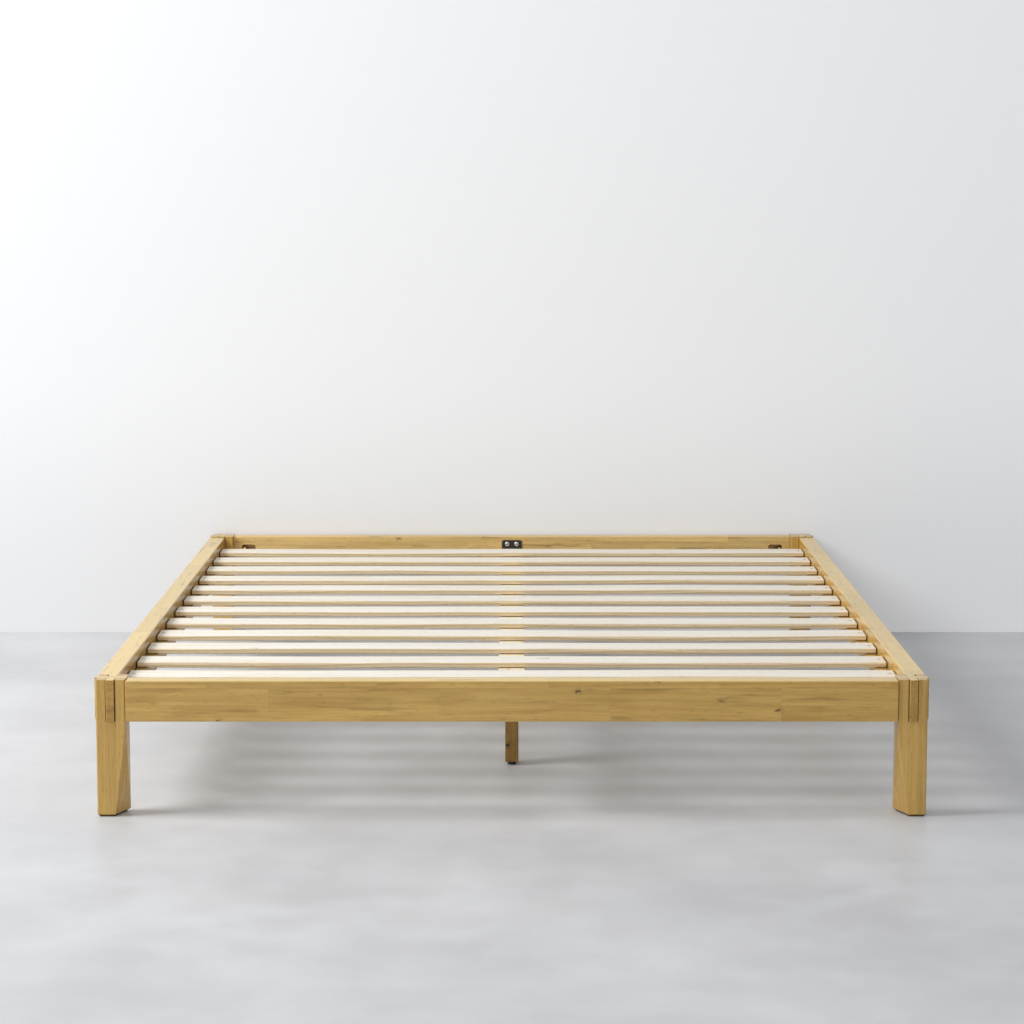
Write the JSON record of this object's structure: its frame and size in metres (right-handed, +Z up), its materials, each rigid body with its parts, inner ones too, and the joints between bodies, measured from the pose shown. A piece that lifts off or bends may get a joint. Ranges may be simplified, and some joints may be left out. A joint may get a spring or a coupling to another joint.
{
  "type": "slatted platform bed frame",
  "caption": "Low solid-wood platform bed frame: slotted tapered corner legs, through-tenoned rails, cross slats, and a centre beam on small legs with screw feet.",
  "frame": {"origin": "on the floor, under the middle of the bed", "axes": "+Z up, +Y from the foot end that the picture looks at to the head end, +X to the right in the picture"},
  "size_m": [1.617, 2.137, 0.27],
  "materials": {
    "frame_wood": "satin clear lacquer over honey-coloured wood",
    "slat_wood": "smooth planed pale softwood, unfinished",
    "beam_wood": "smooth planed light wood, unfinished",
    "centre_leg_wood": "satin clear lacquer over knotty brown wood",
    "bracket_steel": "matt black powder coat",
    "screw_steel": "bright zinc plate",
    "zinc_hardware": "yellow passivated zinc plate",
    "pad_rubber": "matt black",
    "foot_plastic": "matt black moulded"
  },
  "bodies": {
    "frame": {"leg_front_left": "frame_wood", "leg_pad_front_left": "pad_rubber", "leg_front_right": "frame_wood", "leg_pad_front_right": "pad_rubber", "leg_back_left": "frame_wood", "leg_pad_back_left": "pad_rubber", "leg_back_right": "frame_wood", "leg_pad_back_right": "pad_rubber", "front_rail": "frame_wood", "back_rail": "frame_wood", "left_rail": "frame_wood", "right_rail": "frame_wood", "left_ledger": "frame_wood", "right_ledger": "frame_wood", "slat_01": "slat_wood", "slat_02": "slat_wood", "slat_03": "slat_wood", "slat_04": "slat_wood", "slat_05": "slat_wood", "slat_06": "slat_wood", "slat_07": "slat_wood", "slat_08": "slat_wood", "slat_09": "slat_wood", "slat_10": "slat_wood", "slat_11": "slat_wood", "slat_12": "slat_wood", "slat_screws": "screw_steel", "ledger_screws": "screw_steel", "centre_beam": "beam_wood", "front_beam_bracket": "bracket_steel", "back_beam_bracket": "bracket_steel", "bracket_screws": "screw_steel", "beam_screws": "screw_steel", "centre_leg_1": "centre_leg_wood", "centre_leg_2": "centre_leg_wood", "centre_leg_3": "centre_leg_wood", "centre_leg_studs": "zinc_hardware", "foot_inserts": "zinc_hardware", "corner_inserts": "zinc_hardware", "corner_bolts": "zinc_hardware", "corner_washers": "zinc_hardware", "corner_nuts": "zinc_hardware"},
    "foot_1": {"foot_base_1": "foot_plastic", "foot_stem_1": "screw_steel"},
    "foot_2": {"foot_base_2": "foot_plastic", "foot_stem_2": "screw_steel"},
    "foot_3": {"foot_base_3": "foot_plastic", "foot_stem_3": "screw_steel"}
  },
  "joints": [
    {"name": "foot_1_screw", "type": "slide", "parent": "frame", "child": "foot_1", "axis": [0, 0, -1], "range_m": [0, 0.012]},
    {"name": "foot_2_screw", "type": "slide", "parent": "frame", "child": "foot_2", "axis": [0, 0, -1], "range_m": [0, 0.012]},
    {"name": "foot_3_screw", "type": "slide", "parent": "frame", "child": "foot_3", "axis": [0, 0, -1], "range_m": [0, 0.012]}
  ]
}
